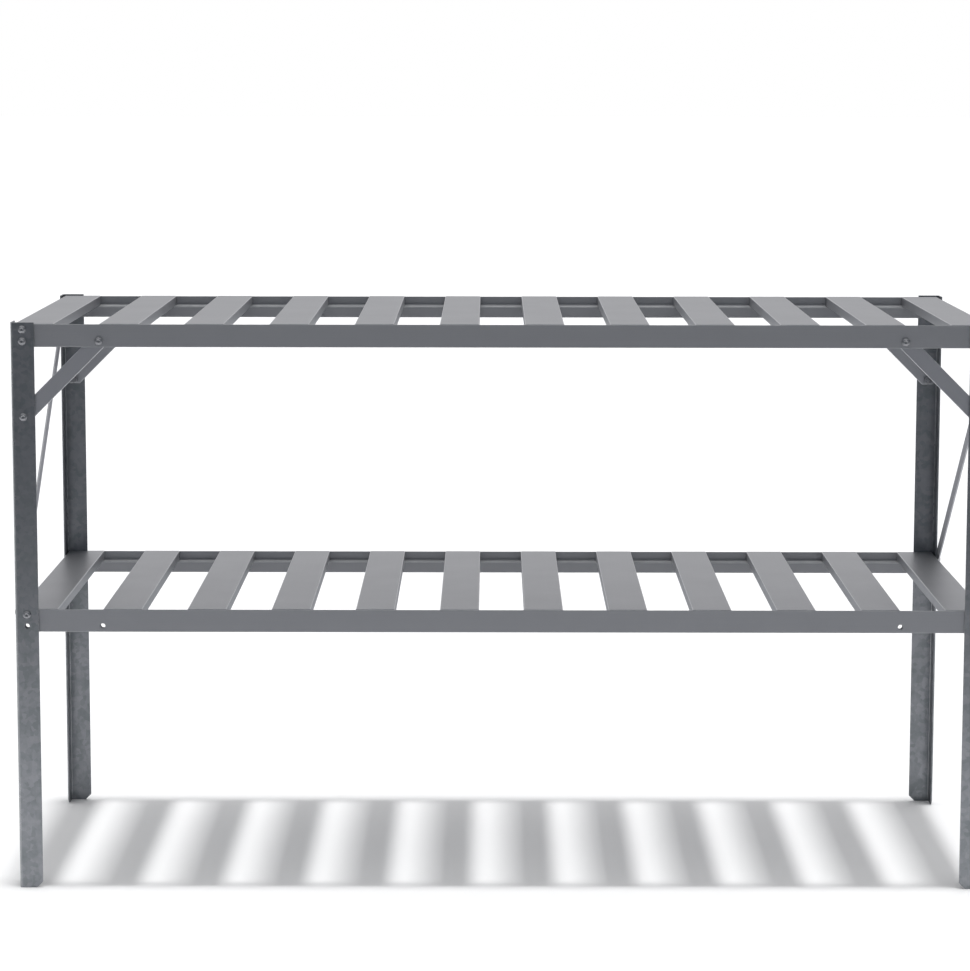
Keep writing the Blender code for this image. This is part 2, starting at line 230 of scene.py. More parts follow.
# %% Carry an outline along a line
def swept(outline, on_corner, length, soft, steps=3, flat_margin=0.0):
    """Points, faces and edge weights of an outline in x and y carried from z = 0 to z = length.

    At both ends the outline is pulled in along a quarter circle of radius soft: at an angle t from the side,
    the ring stands soft * (1 - sin t) from the end and soft * (1 - cos t) inside the outline. A plate, whose
    ends are its broad faces, has one more ring a flat_margin further in, which keeps those faces flat.
    """
    t = np.linspace(0, np.pi / 2, steps + 1)[::-1]
    stand = np.concatenate([soft * (1 - np.sin(t)), [1.6 * soft]])
    inset = np.concatenate([soft * (1 - np.cos(t)), [0]])
    weight = np.concatenate([np.ones(steps + 1), [0]])
    if flat_margin:
        stand = np.concatenate([[0], stand])
        inset = np.concatenate([[soft + flat_margin], inset])
        weight = np.concatenate([[0], weight])
    z = np.concatenate([stand, length - stand[::-1]])
    pull = np.concatenate([inset, inset[::-1]])
    weight = np.concatenate([weight, weight[::-1]])
    on_corner = on_corner[None] * (pull <= soft)[:, None]
    along = unit(np.roll(outline, -1, axis=0) - np.roll(outline, 1, axis=0))
    outwards = np.stack([along[:, 1], -along[:, 0]], axis=1)
    flat = outline[None] - outwards[None] * pull[:, None, None]
    rise = np.broadcast_to(z[:, None, None], flat.shape[:2] + (1,))
    points = np.concatenate([flat, rise], axis=2).reshape(-1, 3)
    edge = np.maximum(weight[:, None], on_corner).reshape(-1)
    count = len(outline)
    faces = grid_faces(len(z), count)
    caps = [list(range(count))[::-1], list(range((len(z) - 1) * count, len(z) * count))]
    return points, faces.tolist() + caps, edge


def grid_faces(rings, count):
    """Four-sided faces between rings of points, each ring closed on itself, facing away from its inside."""
    ring = np.arange(rings - 1)[:, None] * count
    here = np.arange(count)[None]
    after = (here + 1) % count
    corners = [ring + here, ring + after, ring + count + after, ring + count + here]
    return np.stack(corners, axis=2).reshape(-1, 4)


print("a bar with that section has", len(swept(*square, 1.0, 0.01)[1]), "faces")


# %% [markdown]
# ## Punched holes
#
# A punch drags the metal with it, so the rim of its hole is slightly rolled. The tool that cuts each hole
# below is a turned shape that flares where it meets the two faces, which leaves exactly that rim. Boolean
# differences cut the holes, and the tools are thrown away.


# %% Make the tool for a hole
def punch(place, axis, wall, radius=HOLE_RADIUS, roll=PUNCH_ROLL, count=40):
    """Closed turned tool for a wall centred at a place.

    Its radius is r in the middle of the wall, and r + roll at the wall's faces and beyond them.
    """
    half = wall / 2
    beyond = PUNCH_ROLL
    height = np.array([-half - beyond, -half, -half + roll, half - roll, half, half + beyond])
    reach = radius + np.array([roll, roll, 0, 0, roll, roll])
    turn = np.arange(count) / count * 2 * np.pi
    ring = np.stack([np.cos(turn), np.sin(turn)], axis=1)
    flat = reach[:, None, None] * ring[None]
    rise = np.broadcast_to(height[:, None, None], flat.shape[:2] + (1,))
    points = np.concatenate([flat, rise], axis=2).reshape(-1, 3)
    caps = [list(range(count))[::-1], list(range(5 * count, 6 * count))]
    to_axis = np.array(Vector(axis).to_track_quat("Z", "Y").to_matrix())
    return points @ to_axis.T + np.array(place), grid_faces(6, count).tolist() + caps


def block(matrix):
    """Unit cube through a matrix, as points and faces."""
    signs = np.array([[x, y, z] for x in (-0.5, 0.5) for y in (-0.5, 0.5) for z in (-0.5, 0.5)])
    turn = np.array(matrix)
    faces = [[0, 1, 3, 2], [4, 6, 7, 5], [0, 4, 5, 1], [2, 3, 7, 6], [0, 2, 6, 4], [1, 5, 7, 3]]
    return signs @ turn[:3, :3].T + turn[:3, 3], faces


print("a hole's tool has", len(punch((0, 0, 0), (0, 0, 1), ANGLE_WALL)[0]), "points")


# %% [markdown]
# Every piece goes through one function. It makes the mesh, cuts the holes, sets which edges stay sharp, and
# says which body the piece rides on and which slot its metal has.

# %% Put points and faces into an object
made = {}
finish_of = {}


def shown(name, points, faces, edge, slot, cuts=(), sharp=SHARP_ANGLE):
    """Object of a finished piece, with its holes cut and its edge weights kept as an attribute."""
    piece = bpy.data.objects.new(name, mesh_from(name, points, faces, edge))
    bpy.context.scene.collection.objects.link(piece)
    if cuts:
        tool = bpy.data.objects.new("tool", joined("tool", cuts))
        bpy.context.scene.collection.objects.link(tool)
        boolean = piece.modifiers.new("holes", "BOOLEAN")
        boolean.operation = "DIFFERENCE"
        boolean.solver = "EXACT"
        boolean.object = tool
        bpy.context.view_layer.update()
        graph = bpy.context.evaluated_depsgraph_get()
        whole = bpy.data.meshes.new_from_object(piece.evaluated_get(graph))
        piece.modifiers.clear()
        piece.data = whole
        bpy.data.objects.remove(tool, do_unlink=True)
    piece.data.shade_smooth()
    piece.data.set_sharp_from_angle(angle=math.radians(sharp))
    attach(piece, "root")
    made[name] = piece
    finish_of[name] = slot
    return piece


def mesh_from(name, points, faces, edge=None):
    """Mesh whose faces each keep the least edge weight of their points, so that only the rounds are marked."""
    mesh = bpy.data.meshes.new(name)
    mesh.from_pydata(np.asarray(points).tolist(), [], faces)
    if edge is not None:
        corner_points = np.empty(len(mesh.loops), np.int32)
        mesh.loops.foreach_get("vertex_index", corner_points)
        starts = np.empty(len(mesh.polygons), np.int32)
        mesh.polygons.foreach_get("loop_start", starts)
        weights = mesh.attributes.new("edge", "FLOAT", "FACE")
        least = np.minimum.reduceat(np.asarray(edge)[corner_points], starts)
        weights.data.foreach_set("value", least.astype(np.float32))
    mesh.update()
    return mesh


def joined(name, shapes):
    """One mesh of several loose shapes."""
    starts = np.cumsum([0] + [len(points) for points, _ in shapes])
    points = np.concatenate([points for points, _ in shapes])
    faces = [[start + i for i in face] for start, (_, own) in zip(starts, shapes) for face in own]
    return mesh_from(name, points, faces)


print("edges above", SHARP_ANGLE, "degrees stay sharp, and above", SHARP_FASTENER, "on fasteners")


# %% [markdown]
# ## Legs
#
# Each leg is a rolled steel angle, bent along a soft outer corner, with the foot of both flanges snipped at
# 45 degrees. The same outline serves all four, mirrored from corner to corner. Holes for the rails run down
# the flange that faces front or back, and two more for the side diagonals go through the other one.

# %% Read where the holes are
upper_high = centre_of("front_left_upper_rail_bolt_high").z
upper_low = centre_of("front_left_upper_rail_bolt_low").z
lower_high = centre_of("front_left_lower_rail_bolt").z
brace_foot = centre_of("front_left_brace_foot_bolt").z
lower_low = lower_high - (upper_high - upper_low)
FACE_HOLE_X = -centre_of("front_left_upper_rail_bolt_high").x
BRACE_HOLE_X = -centre_of("front_left_brace_head_bolt").x
SIDE_HOLE_Y = centre_of("left_diagonal_top_bolt").y
print(f"hole lines at x {FACE_HOLE_X:.4f} and {BRACE_HOLE_X:.4f}, y {SIDE_HOLE_Y:.4f}")


# %% [markdown]
# The holes are known now, so each leg can be swept upright, punched, and snipped at the foot.

# %% Bend and punch the legs
def leg_outline(side, face):
    width, wall = ANGLE_WIDTH, ANGLE_WALL
    section = np.array([(0, 0), (width, 0), (width, wall), (wall, wall), (wall, width), (0, width)])
    corners = np.array([side * HALF_LENGTH, face * HALF_DEPTH]) - section * np.array([side, face])
    radii = [ANGLE_RADIUS, FINE_RADIUS, FINE_RADIUS, ANGLE_RADIUS - wall, FINE_RADIUS, FINE_RADIUS]
    return rounded(corners, radii)


def toe_cuts(side, face):
    """Two blocks turned by 45 degrees that take the foot corner off each flange's free edge."""
    half = 2 * TOE_CLIP
    shift = half / math.sqrt(2) - TOE_CLIP / 2
    free_x = side * (HALF_LENGTH - ANGLE_WIDTH - shift)
    free_y = face * (HALF_DEPTH - ANGLE_WIDTH - shift)
    size = Matrix.Scale(2 * half, 4)
    thin_y = Matrix.Scale(2 * ANGLE_WALL / (2 * half), 4, (0, 1, 0))
    thin_x = Matrix.Scale(2 * ANGLE_WALL / (2 * half), 4, (1, 0, 0))
    at_x = Matrix.Translation((free_x, face * (HALF_DEPTH - ANGLE_WALL / 2), -shift))
    at_y = Matrix.Translation((side * (HALF_LENGTH - ANGLE_WALL / 2), free_y, -shift))
    eighth = math.radians(45)
    return [
        block(at_x @ Matrix.Rotation(eighth, 4, "Y") @ size @ thin_y),
        block(at_y @ Matrix.Rotation(eighth, 4, "X") @ size @ thin_x),
    ]


for corner, (side, face) in CORNERS.items():
    points, faces, edge = swept(*leg_outline(side, face), LEG_HEIGHT, LEG_SOFT)
    flange_y = face * (HALF_DEPTH - ANGLE_WALL / 2)
    flange_x = side * (HALF_LENGTH - ANGLE_WALL / 2)
    face_heights = (upper_high, upper_low, lower_high, lower_low, brace_foot)
    cuts = [punch((side * FACE_HOLE_X, flange_y, z), (0, 1, 0), ANGLE_WALL) for z in face_heights]
    cuts += [punch((flange_x, face * SIDE_HOLE_Y, z), (1, 0, 0), ANGLE_WALL) for z in (upper_low, lower_high)]
    leg = shown("leg_" + corner + "_fine", points, faces, edge, "galvanised_steel", cuts + toe_cuts(side, face))
    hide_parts("leg_" + corner)
print("4 legs,", len(made["leg_front_left_fine"].data.polygons), "faces each")

# %% [markdown]
# ## Rails
#
# A rail is an extrusion shaped like a small letter h lying against the legs: a tall web, a ledge behind it
# that the slats rest on, and a lip that turns down from the ledge. Extrusion dies have small radii
# everywhere, and one larger radius where the ledge turns into the lip.


# %% Extrude the rails
def rail_outline():
    """Section with x running inwards from the web's outer face and y up from the rail's top edge."""
    depth, wall, drop, height = RAIL_DEPTH, RAIL_WALL, LEDGE_DROP, RAIL_HEIGHT
    corners = [
        (0, 0), (wall, 0), (wall, -drop), (depth, -drop), (depth, -height), (depth - wall, -height),
        (depth - wall, -drop - wall), (wall, -drop - wall), (wall, -height), (0, -height),
    ]
    fine, inner = 0.45 * MM, 0.7 * MM
    radii = [fine, fine, inner, LIP_RADIUS, fine, fine, LIP_RADIUS - wall, inner, fine, fine]
    return rounded(corners, radii)


for shelf in ("upper", "lower"):
    for end, face in (("front", -1), ("rear", 1)):
        node = f"{shelf}_rail_{end}"
        low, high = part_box(node)
        section, faces, edge = swept(*rail_outline(), high.x - low.x, RAIL_SOFT)
        # Section x goes inwards, section y goes up, and the sweep runs along the bench.
        inwards, up, run = section.T
        points = np.stack([face * (low.x + run), face * (RAIL_FACE - inwards), high.z + up], axis=1)
        web_y = face * (RAIL_FACE - RAIL_WALL / 2)
        lip_y = face * (RAIL_FACE - RAIL_DEPTH + RAIL_WALL / 2)
        top_hole = high.z - (rail_high.z - upper_high)
        low_hole = high.z - (rail_high.z - upper_low)
        cuts = [punch((x, web_y, top_hole), (0, 1, 0), RAIL_WALL) for x in (-FACE_HOLE_X, FACE_HOLE_X)]
        for x in (-FACE_HOLE_X, -BRACE_HOLE_X, BRACE_HOLE_X, FACE_HOLE_X):
            cuts.append(punch((x, web_y, low_hole), (0, 1, 0), RAIL_WALL))
            cuts.append(punch((x, lip_y, low_hole), (0, 1, 0), RAIL_WALL))
        rail = shown(node + "_fine", points, faces, edge, "rail_aluminium", cuts)
        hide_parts(node)
print("4 rails,", len(made["upper_rail_front_fine"].data.polygons), "faces each")

# %% [markdown]
# ## Slats
#
# The decks are rows of shallow channels laid hollow side down. Their long edges are rounded, and that thin
# round, lightened further by a painted highlight, shows as a bright line on both sides of every slat.


# %% Roll the slats
def slat_outline():
    half, wall, height = SLAT_WIDTH / 2, SLAT_WALL, SLAT_HEIGHT
    corners = [
        (-half, -height), (-half + wall, -height), (-half + wall, -wall), (half - wall, -wall),
        (half - wall, -height), (half, -height), (half, 0), (-half, 0),
    ]
    fine, inner = FINE_RADIUS, 0.5 * MM
    return rounded(corners, [fine, fine, inner, inner, fine, fine, SLAT_RADIUS, SLAT_RADIUS])


slat_nodes = sorted(node for node in frame["nodes"] if "_slat_" in node)
for node in slat_nodes:
    low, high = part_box(node)
    section, faces, edge = swept(*slat_outline(), high.y - low.y, SLAT_SOFT)
    across, up, run = section.T
    points = np.stack([(low.x + high.x) / 2 + across, high.y - run, high.z + up], axis=1)
    cuts = []
    if node in ("lower_slat_01", "lower_slat_12"):
        side = 1 if node.endswith("12") else -1
        flange = (high.x if side > 0 else low.x) - side * SLAT_WALL / 2
        cuts = [punch((flange, side * SIDE_HOLE_Y, lower_high), (1, 0, 0), SLAT_WALL)]
    slat = shown(node + "_fine", points, faces, edge, "slat_aluminium", cuts)
    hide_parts(node)
print(len(slat_nodes), "slats,", len(made["upper_slat_01_fine"].data.polygons), "faces each")

# %% [markdown]
# ## Braces and diagonals
#
# Both are flat bar with sheared and rounded edges. A brace's tips are cut level and upright, and its whole
# bar leans back by the thickness of the rail's web, from the leg at its foot to the web at its head. The
# diagonals have round ends, and each crosses one end of the bench from a leg's top to the lower shelf.


# %% Shear the corner braces
def brace_outline(reach):
    """Foot hole at the origin and head hole at (reach, reach), turned about the middle into one another."""
    half_diagonal = BAR_WIDTH / math.sqrt(2)
    tip = np.array([
        (half_diagonal - BRACE_TIP_UP, -BRACE_TIP_UP),
        (-BRACE_TIP_OUT, -BRACE_TIP_UP),
        (-BRACE_TIP_OUT, half_diagonal - BRACE_TIP_OUT),
    ])
    radii = [1.5 * MM, BRACE_TIP_RADIUS, 1.5 * MM]
    return rounded(np.concatenate([tip, reach - tip]), radii + radii)


brace_reach = FACE_HOLE_X - BRACE_HOLE_X
lean = (GAP + RAIL_WALL) / (2 * brace_reach)
foot_middle = HALF_DEPTH - ANGLE_WALL - BRACE_SEAT - BAR_WALL / 2
for corner, (side, face) in CORNERS.items():
    plate, faces, edge = swept(*brace_outline(brace_reach), BAR_WALL, BAR_SOFT, flat_margin=BAR_MARGIN)
    x, y, through = plate.T
    out = face * (foot_middle + through - BAR_WALL / 2 - lean * (x + y))
    points = np.stack([side * (FACE_HOLE_X - x), out, brace_foot + y], axis=1)
    if side * face < 0:
        faces = [list(one)[::-1] for one in faces]
    head_y = face * (foot_middle - 2 * lean * brace_reach)
    cuts = [
        punch((side * FACE_HOLE_X, face * foot_middle, brace_foot), (0, 1, 0), BAR_WALL),
        punch((side * BRACE_HOLE_X, head_y, upper_low), (0, 1, 0), BAR_WALL),
    ]
    brace = shown(f"corner_brace_{corner}_fine", points, faces, edge, "zinc_bar", cuts)
    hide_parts("corner_brace_" + corner)
print("4 braces,", len(made["corner_brace_front_left_fine"].data.polygons), "faces each")

# %% [markdown]
# A diagonal is swept along its thickness. The second one is the first turned half round about the upright.

# %% Shear the side diagonals
top_hole = Vector((SIDE_HOLE_Y, upper_low))
foot_hole = Vector((-SIDE_HOLE_Y, lower_high))
run = foot_hole - top_hole
half_bar = BAR_WIDTH / 2
corners = [(-half_bar, -half_bar), (run.length + half_bar, -half_bar),
           (run.length + half_bar, half_bar), (-half_bar, half_bar)]
bar_outline = rounded(corners, [0.96 * half_bar] * 4, steps=10)
for name, turn in (("side_diagonal_left", 1), ("side_diagonal_right", -1)):
    low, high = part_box(name)
    plate, faces, edge = swept(*bar_outline, high.x - low.x, BAR_SOFT, flat_margin=BAR_MARGIN)
    along, across, through = plate.T
    step_y, step_z = run.normalized()
    y = turn * (top_hole.x + along * step_y - across * step_z)
    z = top_hole.y + along * step_z + across * step_y
    points = np.stack([low.x + through, y, z], axis=1)
    if turn < 0:
        faces = [list(one)[::-1] for one in faces]
    middle = (low.x + high.x) / 2
    ends = [(middle, turn * hole.x, hole.y) for hole in (top_hole, foot_hole)]
    cuts = [punch(end, (1, 0, 0), BAR_WALL) for end in ends]
    bar = shown(name + "_fine", points, faces, edge, "zinc_bar", cuts)
    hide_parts(name)
print("2 diagonals,", round(run.length / MM), "mm between holes")

# %% [markdown]
# ## Bolts
#
# A button-head bolt is turned, so its surface is a ring of angles times a list of radii and heights. Only
# the socket isn't round. Its radius at an angle p is the flat's distance over cos p, counted from the middle
# of the nearest flat, so the same grid changes from circles to hexagons as it goes down the hole. The thread
# is a ridge whose height follows the angle: one turn round is one pitch along.


# %% Turn a bolt
def hexagon(turn, flats):
    """Distance from the middle to a hexagon's side, at each angle."""
    return flats / 2 / np.cos(np.mod(turn + np.pi / 6, np.pi / 3) - np.pi / 6)


def ring_grid(radius, height, turn):
    """Points at radius (rings by angles) and height, as x, y and z rows."""
    x = radius * np.cos(turn)[None]
    y = radius * np.sin(turn)[None]
    z = np.broadcast_to(height, radius.shape)
    return np.stack([x, y, z], axis=2).reshape(-1, 3)


def bolt_shape(shank, count=48):
    """Bolt with its under-head face at z = 0, the head above and the shank below, from socket floor to tip.

    The dome is a circle's arc from the rim's top to the socket's mouth. On the thread the radius is
    r - depth * w, where w goes up and down once a pitch, from height plus one pitch for each turn of angle.
    """
    turn = np.arange(count) / count * 2 * np.pi
    six = hexagon(turn, SOCKET_FLATS)
    mouth = SOCKET_FLATS / 2 * 1.2
    floor = HEAD_HEIGHT - SOCKET_DEPTH
    ones = np.ones(count)
    rim = 0.8 * MM
    sweep_turn = np.linspace(math.asin((mouth + 0.1 * MM) / HEAD_RADIUS), np.pi / 2, 9)
    dome_height = rim + (HEAD_HEIGHT - rim) * np.cos(sweep_turn) / np.cos(sweep_turn[0])
    dome = [(HEAD_RADIUS * np.sin(t) * ones, z) for t, z in zip(sweep_turn, dome_height)]
    inner = [(POINT_RADIUS * ones, floor - 0.5 * MM), (0.8 * six, floor), (six, floor + 0.1 * MM)]
    walls = [(six, HEAD_HEIGHT - 0.25 * MM), (mouth * ones, HEAD_HEIGHT - 0.04 * MM)]
    side = [(HEAD_RADIUS * ones, 0.35 * MM), ((HEAD_RADIUS - 0.1 * MM) * ones, 0.08 * MM)]
    under = [((HEAD_RADIUS - 0.3 * MM) * ones, 0.0), (BOLT_RADIUS * ones, 0.0)]
    head = inner + walls + dome + side + under
    radius = np.array([r for r, _ in head])
    height = np.array([[z] for _, z in head]) * ones

    z = np.arange(-0.4 * MM, -shank + 0.5 * MM, -THREAD_STEP)[:, None] * ones
    wave = np.abs(2 * np.mod(z / THREAD_PITCH - turn / (2 * np.pi), 1) - 1)
    thread = BOLT_RADIUS - THREAD_DEPTH * wave
    tip = [BOLT_RADIUS - THREAD_DEPTH, BOLT_RADIUS - 1.2 * THREAD_DEPTH, POINT_RADIUS]
    tip_radius = np.array(tip)[:, None] * ones
    tip_height = np.array([[-shank + 0.3 * MM], [-shank], [-shank]]) * ones
    radius = np.concatenate([radius, thread, tip_radius])
    height = np.concatenate([height, z, tip_height])
    points = ring_grid(radius, height, turn)
    rings = len(radius)
    faces = grid_faces(rings, count)[:, ::-1].tolist()
    faces += [list(range(count)), list(range((rings - 1) * count, rings * count))[::-1]]
    # The socket's mouth and the head's rim carry edge weight, so the metal paints a light ring there: partly
    # wear, partly a painted highlight.
    edge = np.zeros((rings, count))
    edge[3:5] = 1
    edge[len(head) - 4:len(head) - 2] = 1
    return points, faces, edge.reshape(-1)


print("a bolt with a 20 mm shank has", len(bolt_shape(20 * MM)[1]), "faces")


# %% [markdown]
# ## Nuts
#
# A nut is a hexagon whose corners are turned off by a cone, so each flat ends in a shallow curve. The cone
# lowers the face by (radius - c) * tan 30 where the radius passes c, half the width across the flats.


# %% Chamfer a nut
def nut_shape(count=72):
    """Closed ring with its near face at z = 0 and its far face at z = -NUT_HEIGHT."""
    turn = np.arange(count) / count * 2 * np.pi
    ones = np.ones(count)
    six = hexagon(turn, NUT_FLATS)
    crown = 0.97 * NUT_FLATS / 2
    bore = BOLT_RADIUS + 0.05 * MM
    fall = 0.15 * MM + (six - crown) * math.tan(math.radians(30))
    steps = [
        (bore * ones, -0.45 * MM * ones),
        ((bore + 0.45 * MM) * ones, 0 * ones),
        ((crown - 0.2 * MM) * ones, 0 * ones),
        (crown * ones, -0.1 * MM * ones),
        (six - 0.06 * MM, -fall + 0.05 * MM),
        (six, -fall),
        (six, -fall - 0.15 * MM),
    ]
    low = [(r, -NUT_HEIGHT - z) for r, z in steps[::-1]]
    radius = np.array([r for r, _ in steps + low])
    height = np.array([z for _, z in steps + low])
    points = ring_grid(radius, height, turn)
    rings = len(radius)
    faces = grid_faces(rings, count)[:, ::-1].tolist()
    start = (rings - 1) * count
    here = np.arange(count)
    after = (here + 1) % count
    bore_faces = np.stack([start + here, here, after, start + after], axis=1)
    # The chamfered corners carry edge weight, so the metal paints them lighter: partly wear, partly a painted
    # highlight.
    edge = np.zeros((rings, count))
    edge[[4, 5, rings - 6, rings - 5]] = 1
    return points, faces + bore_faces.tolist(), edge.reshape(-1)


print("a nut has", len(nut_shape()[1]), "faces")


# %% [markdown]
# A fastener's box tells its middle and its length, and the side of the bench it's on tells which way the
# head looks. Bolts are rolled by different amounts, because nobody lines up their sockets.

# %% Put a bolt and its nut in each place
def placed(points, seat, outward, roll):
    """Points turned so that +z looks outwards, rolled about it, and moved to the seat."""
    basis = Vector(outward).to_track_quat("Z", "Y").to_matrix() @ Matrix.Rotation(roll, 3, "Z")
    return points @ np.array(basis).T + np.array(seat)


def add_fastener(name, seat, outward, shank, nut_roll, node=None):
    """Bolt and nut for a seat, which is the middle of the under-head face."""
    points, faces, edge = bolt_shape(shank)
    roll = 0.7 * len(made)
    points = placed(points, seat, outward, roll)
    bolt = shown(name, points, faces, edge, "zinc_fasteners", sharp=SHARP_FASTENER)
    points, faces, edge = nut_shape()
    inner = Vector(seat) - Vector(outward) * (shank - BOLT_PAST_NUT - NUT_HEIGHT)
    points = placed(points, inner, outward, nut_roll)
    nut = shown(name + "_nut", points, faces, edge, "zinc_fasteners", sharp=SHARP_FASTENER)
    if node:
        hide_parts(node)
        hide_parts(node)


def upright_roll(outward, flats_up):
    """Roll that sets two of a nut's flats level, or upright."""
    basis = Vector(outward).to_track_quat("Z", "Y").to_matrix()
    up = basis.transposed() @ Vector((0, 0, 1))
    level = math.atan2(up.y, up.x)
    return level if flats_up else level + math.pi / 6


fastener_nodes = sorted(node for node in frame["nodes"] if node.endswith("_bolt") or "_bolt_" in node)
for node in fastener_nodes:
    low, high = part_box(node)
    middle = (low + high) / 2
    if "diagonal" in node:
        outward = Vector((math.copysign(1, middle.x), 0, 0))
    else:
        outward = Vector((0, math.copysign(1, middle.y), 0))
    long_way = abs((high - low).dot(outward))
    seat = middle + outward * (long_way / 2 - HEAD_HEIGHT)
    flats_up = node.endswith("high") or "lower_rail" in node
    add_fastener(node + "_fine", seat, outward, long_way - HEAD_HEIGHT, upright_roll(outward, flats_up), node)
print(len(fastener_nodes), "bolts with nuts in the frame's places")

# %% [markdown]
# The frame has no room for the two bolts at the lower ends of the diagonals, so they are made here. Each
# goes through the bar, the leg and the end slat's flange, and its nut sits inside the slat.

# %% Bolt the lower ends of the diagonals
left_seat = Vector((-HALF_LENGTH - GAP, -SIDE_HOLE_Y, lower_high))
right_seat = Vector((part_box("side_diagonal_right")[1].x + GAP, SIDE_HOLE_Y, lower_high))
for side, seat in (("left", left_seat), ("right", right_seat)):
    outward = Vector((math.copysign(1, seat.x), 0, 0))
    flange = abs(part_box("lower_slat_01")[0].x) - SLAT_WALL - GAP
    shank = abs(seat.x) - flange + NUT_HEIGHT + BOLT_PAST_NUT
    add_fastener(f"{side}_diagonal_foot_bolt", seat, outward, shank, upright_roll(outward, True))
print(len(fastener_nodes) + 2, "bolts with nuts,", len(made), "pieces in all")

# %% [markdown]
# ## Effects that several metals share
#
# Each effect is a node group with named sockets. It gives only masks, heights and colours, and the shader
# stays in the material. Spangle is the frosty pattern of zinc crystals: cells of random brightness, their
# borders bent by noise. Grain is noise pulled long in the direction in which the metal was rolled or drawn.
# Edge wear and highlight lightens the corners by their stored weights: partly wear, partly painted highlight.


# %% Start a node group
def new_group(name, inputs, outputs):
    """Empty group with float or vector sockets, and its input and output nodes."""
    group = bpy.data.node_groups.new(name, "ShaderNodeTree")
    for socket, kind, value in inputs:
        made_socket = group.interface.new_socket(socket, in_out="INPUT", socket_type=kind)
        if value is not None:
            made_socket.default_value = value
    for socket, kind in outputs:
        group.interface.new_socket(socket, in_out="OUTPUT", socket_type=kind)
    return group, group.nodes.new("NodeGroupInput"), group.nodes.new("NodeGroupOutput")


def node_in(tree, kind, links=None, **settings):
    """Node with its settings, and values or links for its inputs by name or number."""
    node = tree.nodes.new(kind)
    for key, value in settings.items():
        setattr(node, key, value)
    for key, value in (links or {}).items():
        if isinstance(value, bpy.types.NodeSocket):
            tree.links.new(value, node.inputs[key])
        else:
            node.inputs[key].default_value = value
    return node


def maths(tree, operation, first, second, clamp=False):
    links = {0: first, 1: second}
    return node_in(tree, "ShaderNodeMath", links, operation=operation, use_clamp=clamp).outputs[0]


# %% [markdown]
# Spangle mixes the cells' random tone with a cloudy frost, and stretches the contrast of the two together.

# %% Grow zinc spangle
FLOAT, VECTOR, COLOUR = "NodeSocketFloat", "NodeSocketVector", "NodeSocketColor"
SPANGLE, inside, outside = new_group(
    "Zinc spangle",
    [("Vector", VECTOR, None), ("Crystals per metre", FLOAT, 110.0), ("Frost", FLOAT, 0.5)],
    [("Mask", FLOAT), ("Height", FLOAT)],
)
bend = node_in(
    SPANGLE, "ShaderNodeTexNoise",
    {"Vector": inside.outputs["Vector"], "Scale": 160.0, "Detail": 3.0, "Roughness": 0.6},
)
bent = node_in(
    SPANGLE, "ShaderNodeVectorMath",
    {0: bend.outputs["Color"], 1: (0.004, 0.004, 0.004), 2: inside.outputs["Vector"]}, operation="MULTIPLY_ADD",
)
crystal = node_in(
    SPANGLE, "ShaderNodeTexVoronoi",
    {"Vector": bent.outputs[0], "Scale": inside.outputs["Crystals per metre"], "Randomness": 1.0},
)
cell = node_in(SPANGLE, "ShaderNodeSeparateColor", {0: crystal.outputs["Color"]}).outputs[0]
frost = node_in(
    SPANGLE, "ShaderNodeTexNoise",
    {"Vector": inside.outputs["Vector"], "Scale": 38.0, "Detail": 5.0, "Roughness": 0.62},
)
mixed = node_in(
    SPANGLE, "ShaderNodeMix", {0: inside.outputs["Frost"], 2: cell, 3: frost.outputs[0]}, data_type="FLOAT"
)
spread = node_in(
    SPANGLE, "ShaderNodeMapRange",
    {"Value": mixed.outputs[0], "From Min": 0.28, "From Max": 0.72}, interpolation_type="SMOOTHSTEP",
)
SPANGLE.links.new(spread.outputs[0], outside.inputs["Mask"])
SPANGLE.links.new(crystal.outputs["Distance"], outside.inputs["Height"])
print(SPANGLE.name, "has", len(SPANGLE.nodes), "nodes")

# %% [markdown]
# Grain squeezes the coordinates along one axis, so noise that is fine across the metal is long along it.

# %% Draw grain along one direction
GRAIN, inside, outside = new_group(
    "Drawn grain",
    [("Vector", VECTOR, None), ("Stretch", VECTOR, (1.0, 1.0, 1.0)), ("Fineness", FLOAT, 900.0)],
    [("Mask", FLOAT), ("Cloud", FLOAT)],
)
pulled = node_in(
    GRAIN, "ShaderNodeVectorMath",
    {0: inside.outputs["Vector"], 1: inside.outputs["Stretch"]}, operation="MULTIPLY",
)
fine = node_in(
    GRAIN, "ShaderNodeTexNoise",
    {"Vector": pulled.outputs[0], "Scale": inside.outputs["Fineness"], "Detail": 4.0, "Roughness": 0.7},
)
cloud = node_in(
    GRAIN, "ShaderNodeTexNoise",
    {"Vector": inside.outputs["Vector"], "Scale": 14.0, "Detail": 4.0, "Roughness": 0.55},
)
GRAIN.links.new(fine.outputs[0], outside.inputs["Mask"])
GRAIN.links.new(cloud.outputs[0], outside.inputs["Cloud"])
print(GRAIN.name, "has", len(GRAIN.nodes), "nodes")

# %% [markdown]
# Handling wears the dull skin off corners first, though never evenly, so noise breaks up the edge weight.
# The lighter colour it mixes onto the rounded edges is partly wear and partly a painted highlight.

